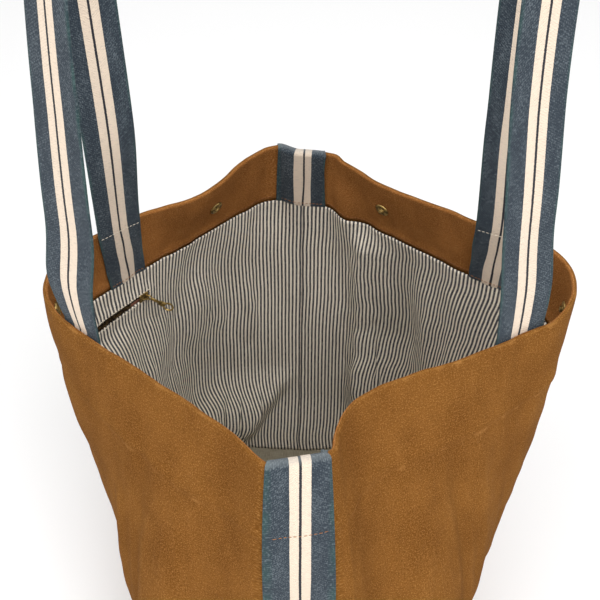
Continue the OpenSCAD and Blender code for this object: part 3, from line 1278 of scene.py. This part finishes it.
@dataclass
class Facing:
    """The deep band of canvas inside the rim, on one side."""

    side: Side
    walls: Walls
    finishes: Finishes
    cloth: float = 1.2
    roll: float = 1.9

    def place(self, u: np.ndarray, v: np.ndarray, raise_by: float = 0.0) -> np.ndarray:
        """Lays the facing from the crest of the rim down.

        Args:
            u: Distances along the rim.
            v: Distances down from the crest.
            raise_by: How far off the seen face.

        Returns:
            The places, in millimetres.
        """
        roll = self.roll
        angle = np.clip(v / roll, 0, math.pi / 2)
        top = P.height - roll
        down = np.maximum(0, v - roll * math.pi / 2)
        z = np.where(v < roll * math.pi / 2, top + roll * np.cos(angle), top - down)
        inset = FACE_IN - roll * (1 - np.sin(angle))
        above = z - P.hem
        inset = inset - 0.9 * bump(above, 1.5, 1.5) + 0.55 * bump(above - 5, 4, 6)
        sag = np.sin(u / 7.3) * np.sin(u / 3.1 + 1) * 0.5 + np.sin(u / 19.0 + 2) * 0.7
        inset = inset + sag * bump(above - 14, 12, 34) + raise_by
        return self.walls[self.side].at(u, z, inset)

    def build(self) -> None:
        """Builds and dresses the facing and its stitches."""
        deep = P.facing + 1.1

        def wear(u: np.ndarray, v: np.ndarray) -> np.ndarray:
            """The rubbing at the rim and the hem."""
            return 0.35 * bump(v, 3, 3) + 0.2 * bump(v - deep + 4, 6, 6)

        rows = [*spread(0, 3, 0.6), *spread(5, deep - 8, 2.4), *spread(deep - 6.5, deep, 0.9)]
        name = f"facing_cloth_{self.side.name.lower()}"
        # The facing's canvas is tinted lighter than the shell's: painted light for the shaded inside of the
        # rim.
        band = Cloth(name, spread(0, P.around, 2.2), rows, self.place, self.finishes.facing, self.cloth,
                     self.side is Side.LEFT, wear).build()
        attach(band, "bag")
        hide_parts(f"facing_{self.side.name.lower()}")
        sewn = Stitching(f"facing_stitches_{self.side.name.lower()}", self.finishes.brown_thread)
        point, outside = just_off(self.place), just_off(self.walls[self.side].at, -0.1)
        sewn.row(lambda d: point(d, deep - 4.5), 20, P.around - 20)
        sewn.row(lambda d: outside(d, P.hem + 4), 20, P.around - 20)
        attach(sewn.build(), "bag")


LINING_FOLDS = (
    # Beside the rear seam, where the slack cloth laps over itself
    Fold(RIGHT, 459, 46, 16, 10, 290, 250, 30),
    Fold(LEFT, 496, 40, 13, 4, 270, 110, 50),
    Fold(RIGHT, 392, 30, 26, 6, 210, 150, 90),
    Fold(LEFT, 420, 26, 30, 6, 220, 150, 70),
    # Rolls low down at the rear
    Fold(LEFT, 468, 90, 22, 24, 50, 70, 62, 0.6),
    Fold(RIGHT, 456, 74, 20, 20, 84, 76, 100),
    Fold(BOTH, P.around, 110, 1, 11, 0, 1, 70),
)


@dataclass
class Lining:
    """The striped lining on one side, slack enough to fold."""

    side: Side
    walls: Walls
    finishes: Finishes
    cloth: float = 0.9
    window: float = 3.2

    def place(self, u: np.ndarray, v: np.ndarray, raise_by: float = 0.0) -> np.ndarray:
        """Lays the lining on the wall, slack, and puckered beside the zip.

        Args:
            u: Distances along the rim.
            v: Heights.
            raise_by: How far off the seen face.

        Returns:
            The places, in millimetres.
        """
        inset = LINING_IN + self._slack(u, v) + raise_by
        if self.side is Side.LEFT:
            across = np.maximum(0, np.abs(u - P.quarter) - ZIP_HALF)
            up = np.maximum(0, np.abs(v - P.zip_z) - self.window)
            near = np.hypot(across, up)
            inset = inset + 1.6 * bump(near, 13, 13)
            pucker = np.sin(u / 2.3) + np.sin(u / 3.7 + 1)
            inset = inset + 0.3 * (pucker + 1) * bump(near - 8, 7, 16)
        return self.walls[self.side].at(u, v, inset)

    def _slack(self, u: np.ndarray, z: np.ndarray) -> np.ndarray:
        """How far the slack cloth hangs in from the wall.

        Args:
            u: Distances along the rim.
            z: Heights.

        Returns:
            The distances in.
        """
        shift = 3 + self.side.value
        wide = np.array([noise.noise(Vector((a / 34, b / 190, shift))) for a, b in zip(u, z)])
        thin = np.array([noise.noise(Vector((a / 13 + b / 90, b / 120, shift + 5))) for a, b in zip(u, z)])
        free = bump(z - 190, 185, 128)
        ends = 1 - bump(np.minimum(u, P.around - u), 14, 14)
        out = np.maximum(0, 0.2 + wide) * 7 + np.maximum(0, thin) * 3.0
        if self.side is Side.LEFT:
            across = np.maximum(0, np.abs(u - P.quarter) - ZIP_HALF)
            up = np.maximum(0, np.abs(z - P.zip_z) - 6)
            out = out * (1 - bump(np.hypot(across, up), 38, 38))
        return out * free * ends + sum(f.height(u, z) for f in LINING_FOLDS if self.side in f.sides)

    def build(self) -> None:
        """Builds and dresses the lining."""
        left = self.side is Side.LEFT
        bottom, top = 3.2, P.hem - 0.5
        a, b = P.quarter - ZIP_HALF - 0.5, P.quarter + ZIP_HALF + 0.5
        if left:
            columns = [*spread(0, a, 2.3), *spread(a, b, 2.3)[1:-1], *spread(b, P.around, 2.3)]
            low, high = P.zip_z - self.window, P.zip_z + self.window
            rows = [*spread(bottom, low - 8, 3.2), *spread(low - 6, low, 1.5), P.zip_z,
                    *spread(high, high + 6, 1.5), *spread(high + 8, top, 2.6)]
            window = (a, b, low, high)
        else:
            columns, rows, window = spread(0, P.around, 2.3), spread(bottom, top, 3.2), None
        name = f"lining_cloth_{self.side.name.lower()}"
        cloth = Cloth(name, columns, rows, self.place, self.finishes.ticking, self.cloth, not left, None,
                      window, P.around).build()
        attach(cloth, "bag")
        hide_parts(f"lining_{self.side.name.lower()}")
        (top - bottom) * MM


def lining_base(finishes: Finishes) -> None:
    """Builds the plain cotton across the bottom of the lining.

    Args:
        finishes: The finishes.
    """
    cloth = Floor("lining_base_cloth", 4.4, 6.8, finishes.base_cloth, 0.9, 5.0).build()
    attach(cloth, "bag")
    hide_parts("lining_base")


@dataclass(frozen=True)
class Lay:
    """How one strap hangs: heights over the rim with distances out and turns in degrees.

    Its sewn end lies a little along from the plain place, away from the seam.
    """

    knots: tuple[tuple[float, float, float], ...]
    along: float = 0.0

    def read(self, high: np.ndarray, part: int) -> np.ndarray:
        """The distance out or the turn at some heights.

        Args:
            high: Heights over the rim.
            part: 1 for the distance out, 2 for the turn.

        Returns:
            One value for each height.
        """
        table = np.array(self.knots)
        fine = np.linspace(table[0, 0], table[-1, 0], 200)
        values = np.interp(fine, table[:, 0], table[:, part])
        for _ in range(60):
            values[1:-1] = (values[:-2] + values[1:-1] + values[2:]) / 3
        return np.interp(high, fine, values)


LAYS = {
    (Side.LEFT, Seam.FRONT): Lay(
        ((0, 143, 38), (40, 149, 27), (110, 144, 33), (170, 138, 39), (240, 133, 44)), 9),
    (Side.LEFT, Seam.REAR): Lay(((0, 137, 30), (100, 135, 27), (240, 134, 28)), -5),
    (Side.RIGHT, Seam.FRONT): Lay(
        ((0, 145, 36), (40, 146, 26), (110, 141, 24), (170, 136, 26), (240, 132, 27)), 5),
    (Side.RIGHT, Seam.REAR): Lay(((0, 149, 31), (100, 148, 30), (240, 143, 30)), 9),
}


@dataclass
class Handle:
    """One webbing handle: two sewn ends and the loop between them, as one length."""

    side: Side
    walls: Walls
    finishes: Finishes
    rise: float = 290.0
    lean: float = 8.0
    bend: float = 54.0
    hinge_x: float = 141.8
    flex: tuple[float, float] = (386.0, 422.0)

    def __post_init__(self) -> None:
        """Lays out the loop's middle line, from the front end up over and down to the rear."""
        foot = self._foot()
        climb = self.rise - self.bend
        heights = np.linspace(0, climb, 60)
        ys = foot[1] + (-self.bend - foot[1]) * heights / climb
        angles = np.radians(np.linspace(4, 176, 44))
        high = np.concatenate([heights, climb + self.bend * np.sin(angles), heights[::-1]])
        y = np.concatenate([ys, -self.bend * np.cos(angles), -ys[::-1]])
        apex = foot[0] - self.lean
        lays = [LAYS[self.side, seam] for seam in (Seam.FRONT, Seam.REAR)]
        over = np.array([ease((h - climb) / self.bend) for h in high])
        x, slant = (np.where(y < 0, lays[0].read(high, part), lays[1].read(high, part)) for part in (1, 2))
        x = x * (1 - over) + apex * over
        slant = np.radians(slant) * (1 - over) * np.where(y < 0, 1, -1)
        self.line = np.stack([self.side.value * x, y, P.height + high], axis=-1)
        self.steps = np.concatenate([[0], np.cumsum(np.linalg.norm(np.diff(self.line, axis=0), axis=1))])
        ahead = np.gradient(self.line, axis=0)
        ahead /= np.linalg.norm(ahead, axis=-1, keepdims=True)
        width = np.stack([self.side.value * np.cos(slant), np.sin(slant), np.zeros_like(slant)], axis=-1)
        width -= ahead * np.sum(width * ahead, axis=-1, keepdims=True)
        self.width = width / np.linalg.norm(width, axis=-1, keepdims=True)
        self.inner = np.cross(ahead, self.width) * self.side.value

    def _foot(self) -> tuple[float, float]:
        """Finds where the middle of the front strap crosses the rim.

        Returns:
            The place on plan, in millimetres.
        """
        t = P.strap - P.half_web
        a = P.rim_angle
        return (P.half_web + t * math.cos(a) - LINING_IN * math.sin(a),
                -P.rim_y + t * math.sin(a) + LINING_IN * math.cos(a))

    @property
    def sewn(self) -> float:
        """The length sewn down at each end."""
        return P.facing

    @property
    def length(self) -> float:
        """The length of webbing in the handle."""
        return 2 * self.sewn + float(self.steps[-1])

    def place(self, u: np.ndarray, v: np.ndarray, raise_by: float = 0.0) -> np.ndarray:
        """Places on the face that looks into the bag.

        Args:
            u: Across the webbing, towards the rear at the front end.
            v: Along the webbing from its front end.
            raise_by: How far off the face.

        Returns:
            The places, in millimetres.
        """
        u, v = np.broadcast_arrays(np.asarray(u, float), np.asarray(v, float))
        loop = float(self.steps[-1])
        d = np.clip(v - self.sewn, 0, loop)

        def read(table: np.ndarray) -> np.ndarray:
            """The table's vectors along the loop."""
            return np.stack([np.interp(d, self.steps, table[:, i]) for i in range(3)], axis=-1)

        free = read(self.line) + read(self.width) * u[..., None] + read(self.inner) * (1.1 + raise_by)
        rear = v > self.length / 2
        down = np.maximum(0, np.maximum(self.sewn - v, v - self.sewn - loop))
        front_s, rear_s = (P.strap + LAYS[self.side, seam].along for seam in (Seam.FRONT, Seam.REAR))
        s = np.where(rear, P.around - rear_s - u, front_s + u)
        wall = self.walls[self.side]
        on_wall = wall.at(s, P.height - down, TRIM_IN + raise_by)
        foot_v = np.where(rear, loop, 0.0)
        foot = np.stack([np.interp(foot_v, self.steps, self.line[:, i]) for i in range(3)], axis=-1)
        ends = np.where(rear[..., None], self.width[-1], self.width[0])
        inner = np.where(rear[..., None], self.inner[-1], self.inner[0])
        plain = foot + ends * u[..., None] + inner * (1.1 + raise_by)
        drift = wall.at(s, np.full_like(u, P.height), TRIM_IN + raise_by) - plain
        up = np.minimum(d, loop - d)
        fade = 1 - np.clip(up / 90, 0, 1) ** 2 * (3 - 2 * np.clip(up / 90, 0, 1))
        soft = np.sin(v / 41 + self.side.value) * 1.6 + np.sin(v / 97) * 2.2
        twist = np.sin(v / 63 + 1) * 0.02 * u
        loose = free + drift * fade[..., None] + read(self.inner) * ((soft + twist) * (1 - fade))[..., None]
        return np.where((down > 0)[..., None], on_wall, loose)

    def build(self) -> None:
        """Builds and dresses the handle and its stitches."""
        loop = float(self.steps[-1])
        ends = spread(0, self.sewn - 2, 3)
        rows = [*ends, *spread(self.sewn, self.sewn + loop, 3.2), *[self.length - v for v in reversed(ends)]]
        columns = [-19, -18.4, -17.4, *spread(-15.5, 15.5, 2.2), 17.4, 18.4, 19]

        def wear(u: np.ndarray, v: np.ndarray) -> np.ndarray:
            """The rubbing at the top of the loop and at the edges."""
            return 0.3 * bump(v - self.length / 2, 130, 130) + 0.25 * bump(np.abs(u) - 19, 3, 3)

        name = self.side.name.lower()
        strap = Cloth(f"{name}_handle_webbing", columns, rows, self.place, self.finishes.webbing, WEB_SEEN,
                      self.side is Side.RIGHT, wear).build()
        soften(strap, 0.5)
        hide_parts(f"{name}_handle", f"{name}_handle_ends")
        x = self.side.value * self.hinge_x * MM
        low, high = self.flex
        low * MM
        high * MM
        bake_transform(strap)
        self.length * MM
        self._stitch()

    def _stitch(self) -> None:
        """Sews each end across at its tip, and across again in white at the rim."""
        brown = Stitching(f"{self.side.name.lower()}_handle_stitches", self.finishes.brown_thread)
        white = Stitching(f"{self.side.name.lower()}_handle_rim_stitches", self.finishes.white_thread)
        point = just_off(self.place)
        for sewn, inset in ((brown, 3.5), (white, self.sewn - 3)):
            for v in (inset, self.length - inset):
                sewn.row(lambda d, v=v: point(d, v), -17.5, 17.5)
            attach(sewn.build(), "bag")


@dataclass
class ZipPocket:
    """The zipped pocket in the left lining: tapes, teeth, slider, tab, stitches and bag."""

    walls: Walls
    finishes: Finishes

    def build(self) -> None:
        """Builds and dresses the pocket."""
        wall = self.walls[Side.LEFT]
        first, last = P.quarter - ZIP_HALF, P.quarter + ZIP_HALF
        for name, low, high in (("upper", 0.9, 11.4), ("lower", -11.4, -0.9)):
            rows = spread(low, high, 1.4)
            tape = Cloth(f"zip_tape_{name}_cloth", spread(first - 3, last + 3, 2.4), rows,
                         lambda u, v: wall.at(u, P.zip_z + v, LINING_IN + 0.1), self.finishes.tape, 0.6,
                         False).build()
            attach(tape, "bag")
            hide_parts(f"zip_tape_{name}")
            (last - first + 6) * MM
        for name in ("zip_teeth_upper", "zip_teeth_lower", "zip_stops"):
            metal(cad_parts[name], self.finishes.zip_metal)
        pocket = Cloth("pocket_cloth", spread(first - 9, last + 9, 4), spread(P.zip_z - 150, P.zip_z + 11, 4),
                       lambda u, v: wall.at(u, v, 2.2), self.finishes.base_cloth, 0.6, False).build()
        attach(pocket, "bag")
        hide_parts("pocket_bag")
        (last - first + 18) * MM
        self._stitch()
        place = wall.frame(P.quarter + ZIP_HALF - 6.0, P.zip_z, LINING_IN)
        Slider(place, self.finishes.brass).build()

    def _stitch(self) -> None:
        """Sews the white box round the zip."""
        sewn = Stitching("zip_stitches", self.finishes.white_thread, 1.7, 1.1, 0.5)
        point = just_off(Lining(Side.LEFT, self.walls, self.finishes).place, 0.3)
        first, last = P.quarter - ZIP_HALF - 2.2, P.quarter + ZIP_HALF + 2.2
        for up in (-4.5, 4.5):
            sewn.row(lambda d, up=up: point(d, P.zip_z + up), first, last)
        for u in (first, last):
            sewn.row(lambda d, u=u: point(u, P.zip_z + d), -4.5, 4.5)
        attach(sewn.build(), "bag")


@dataclass
class Slider:
    """The zip's slider and bridge, and the tab: an eye, a neck and a ring.

    Its place has X along the closing zip, Y up and Z into the bag.
    """

    place: Matrix
    material: bpy.types.Material
    droop: float = 24.0
    lift: float = 60.0

    def build(self) -> None:
        """Builds and dresses the three pieces."""
        for name, make, body, node in (("slider_casting", self._casting, "zip_slider", "slider_body"),
                                       ("slider_arch", self._arch, "zip_slider", "slider_bridge"),
                                       ("pull_tab_casting", self._tab, "zip_pull", "pull_tab")):
            bm = bmesh.new()
            make(bm)
            bmesh.ops.recalc_face_normals(bm, faces=bm.faces)
            bm.transform(self.place @ Matrix.Scale(MM, 4))
            piece = as_object(name, bm, self.material)
            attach(piece, body)
            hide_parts(node)

    def _block(self, bm: bmesh.types.BMesh, turned: Matrix, centre: tuple, size: tuple, edge: float) -> None:
        """Adds a block with rounded edges, in millimetres.

        Args:
            bm: The mesh it joins.
            turned: The frame it stands in.
            centre: Its middle.
            size: Its three sides.
            edge: The rounding of its edges.
        """
        matrix = turned @ Matrix.Translation(centre) @ Matrix.Diagonal((*size, 1))
        made = bmesh.ops.create_cube(bm, size=1, matrix=matrix)
        edges = list({e for v in made["verts"] for e in v.link_edges})
        bmesh.ops.bevel(bm, geom=edges, offset=edge, segments=3, profile=0.5, affect="EDGES", material=-1)

    def _hoop(self, bm: bmesh.types.BMesh, turned: Matrix, radius: float, wire: float, angle: float) -> None:
        """Adds a round wire swept round an arc, in millimetres.

        Args:
            bm: The mesh it joins.
            turned: The frame it lies in, with Z as the arc's axis.
            radius: The arc's radius.
            wire: The wire's radius.
            angle: How far the arc goes, in radians.
        """
        full = angle > 6
        start = turned @ Matrix.Translation((radius, 0, 0)) @ Matrix.Rotation(math.pi / 2, 4, "X")
        made = bmesh.ops.create_circle(bm, cap_ends=not full, segments=12, radius=wire, matrix=start)
        edges = list({e for v in made["verts"] for e in v.link_edges})
        faces = list({f for v in made["verts"] for f in v.link_faces})
        axis = turned.to_3x3() @ Vector((0, 0, 1))
        bmesh.ops.spin(bm, geom=[*made["verts"], *edges, *faces], angle=angle, steps=32, axis=axis,
                       cent=turned.translation, use_duplicate=False, use_merge=full)
        bmesh.ops.remove_doubles(bm, verts=bm.verts, dist=1e-4)

    def _casting(self, bm: bmesh.types.BMesh) -> None:
        """Adds the slider's front plate, nose and flanges.

        Args:
            bm: The mesh they join.
        """
        level = Matrix.Identity(4)
        self._block(bm, level, (-0.4, 0, 1.9), (8.6, 8.2, 1.4), 0.6)
        self._block(bm, level, (3.6, 0, 1.7), (3.4, 5.4, 1.2), 0.5)
        for y in (-3.7, 3.7):
            self._block(bm, level, (-0.8, y, 1.5), (7.2, 0.9, 1.0), 0.25)

    def _arch(self, bm: bmesh.types.BMesh) -> None:
        """Adds the bridge over the plate."""
        upright = Matrix.Translation((0.6, 0, 2.3)) @ Matrix.Rotation(math.pi / 2, 4, "X")
        self._hoop(bm, upright, 3.2, 0.75, math.pi)

    def _tab(self, bm: bmesh.types.BMesh) -> None:
        """Adds the tab's eye round the bridge, its neck, plate and ring.

        Args:
            bm: The mesh they join.
        """
        lifted = Matrix.Translation((2.05, 0, 4.4)) @ Matrix.Rotation(math.radians(-self.lift), 4, "Y")
        turned = lifted @ Matrix.Translation((1.2, 0, 0)) @ Matrix.Rotation(math.radians(-self.droop), 4, "Z")
        self._hoop(bm, turned, 2.3, 0.6, 2 * math.pi)
        self._block(bm, turned, (6.4, 0, 0), (8.0, 2.9, 1.1), 0.35)
        self._block(bm, turned, (12.2, 0, 0), (5.0, 5.6, 1.1), 0.4)
        self._hoop(bm, turned @ Matrix.Translation((18.2, 0, 0)), 3.9, 0.8, 2 * math.pi)


def metal(obj: bpy.types.Object, material: bpy.types.Material) -> None:
    """Gives a hard piece its finish.

    Args:
        obj: The piece.
        material: The finish.
    """
    obj.data.materials.clear()
    obj.data.materials.append(material)


class Half(Enum):
    """The two halves of a press snap."""

    SOCKET = "socket"
    STUD = "stud"


@dataclass
class Snap:
    """One half of a press snap, spun from its profile."""

    half: Half
    place: Matrix
    name: str
    material: bpy.types.Material

    def build(self) -> bpy.types.Object:
        """Spins the snap and puts it on the facing.

        Returns:
            The finished piece.
        """
        if self.half is Half.SOCKET:
            profile = [(6.25, 0), (6.25, 0.5), (5.9, 1.1), (5.3, 1.45), (4.6, 1.5), (4.1, 1.25), (3.7, 1.2),
                       (3.3, 1.55), (2.8, 1.6), (2.6, 1.2), (2.5, 0.4), (0, 0.4)]
        else:
            profile = [(6.25, 0), (6.25, 0.35), (5.8, 0.75), (4.9, 0.85), (3.4, 0.7), (2.8, 0.75),
                       (2.35, 1.1), (2.3, 1.9), (2.5, 2.4), (2.2, 2.9), (1.2, 3.1), (0, 3.1)]
        bm = bmesh.new()
        verts = [bm.verts.new(Vector((r, 0, h)) * MM) for r, h in profile]
        edges = [bm.edges.new(pair) for pair in zip(verts, verts[1:])]
        bmesh.ops.spin(bm, geom=[*verts, *edges], angle=2 * math.pi, steps=40, axis=(0, 0, 1),
                       cent=(0, 0, 0), use_merge=True)
        bmesh.ops.remove_doubles(bm, verts=bm.verts, dist=1e-6)
        bmesh.ops.recalc_face_normals(bm, faces=bm.faces)
        bm.transform(self.place)
        return as_object(self.name, bm, self.material)


@dataclass
class Snaps:
    """The three press snaps across the mouth."""

    walls: Walls
    finishes: Finishes

    def build(self) -> None:
        """Builds and dresses the snaps."""
        z = P.hem + P.facing / 2
        for side, half, nodes in ((Side.LEFT, Half.SOCKET, ("snap_sockets", "snap_socket_backs")),
                                  (Side.RIGHT, Half.STUD, ("snap_studs", "snap_stud_backs"))):
            for i, s in enumerate((SNAP_OFF, P.quarter, P.around - SNAP_OFF)):
                place = self.walls[side].frame(s, z, FACE_IN + 0.1)
                snap = Snap(half, place, f"snap_{half.value}_{i + 1}", self.finishes.brass).build()
                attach(snap, "bag")
                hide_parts(*nodes)


# --- The studio ---


def studio() -> None:
    """Sets up the camera, floor and lights."""
    camera = bpy.data.cameras.new("camera")
    camera.sensor_width = 36
    camera.lens = 60.36
    camera.clip_start = 0.01
    holder = bpy.data.objects.new("camera", camera)
    holder.location = (0, -0.548, 0.856)
    holder.rotation_euler = (math.radians(48), 0, 0)
    bpy.context.scene.collection.objects.link(holder)
    bpy.context.scene.camera = holder

    g = Graph("studio_floor")
    pale = g.finish({"Base Color": (0.9, 0.9, 0.9, 1), "Roughness": 0.9})
    bm = bmesh.new()
    bmesh.ops.create_grid(bm, x_segments=1, y_segments=1, size=6)
    floor = as_object("studio_floor", bm, pale)
    floor.location = (0, 0, -0.0006)

    for name, place, size, power in (("key", (0.55, -1.25, 2.0), 1.3, 34),
                                     ("fill", (-1.0, -0.9, 1.9), 1.6, 16),
                                     ("back", (0.1, 1.9, 1.8), 1.6, 6)):
        light = bpy.data.lights.new(name, "AREA")
        light.size = size
        light.energy = power
        lamp = bpy.data.objects.new(name, light)
        lamp.location = place
        lamp.rotation_euler = (Vector((0, 0, 0.3)) - Vector(place)).to_track_quat("-Z", "Y").to_euler()
        bpy.context.scene.collection.objects.link(lamp)
    world = bpy.data.worlds.new("studio")
    world.use_nodes = True
    background = world.node_tree.nodes["Background"]
    background.inputs["Color"].default_value = (1, 1, 1, 1)
    background.inputs["Strength"].default_value = 0.7
    bpy.context.scene.world = world
    bpy.context.scene.view_settings.view_transform = "Standard"


def main() -> None:
    """Builds the bag piece by piece, from the outside in."""
    logging.basicConfig(level=logging.INFO, format="%(message)s")
    studio()
    log.info("camera, floor and lights")
    finishes = Finishes.build()
    walls = Walls()
    Shell(walls, finishes).build()
    log.info("shell")
    for side in Side:
        Facing(side, walls, finishes).build()
        Lining(side, walls, finishes).build()
    lining_base(finishes)
    log.info("facing and lining")
    for seam in Seam:
        SeamStrip(seam, walls, finishes).build()
    log.info("strips")
    for side in Side:
        Handle(side, walls, finishes).build()
    log.info("handles")
    ZipPocket(walls, finishes).build()
    log.info("zip pocket")
    Snaps(walls, finishes).build()
    log.info("snaps")


if __name__ == "__main__":
    main()
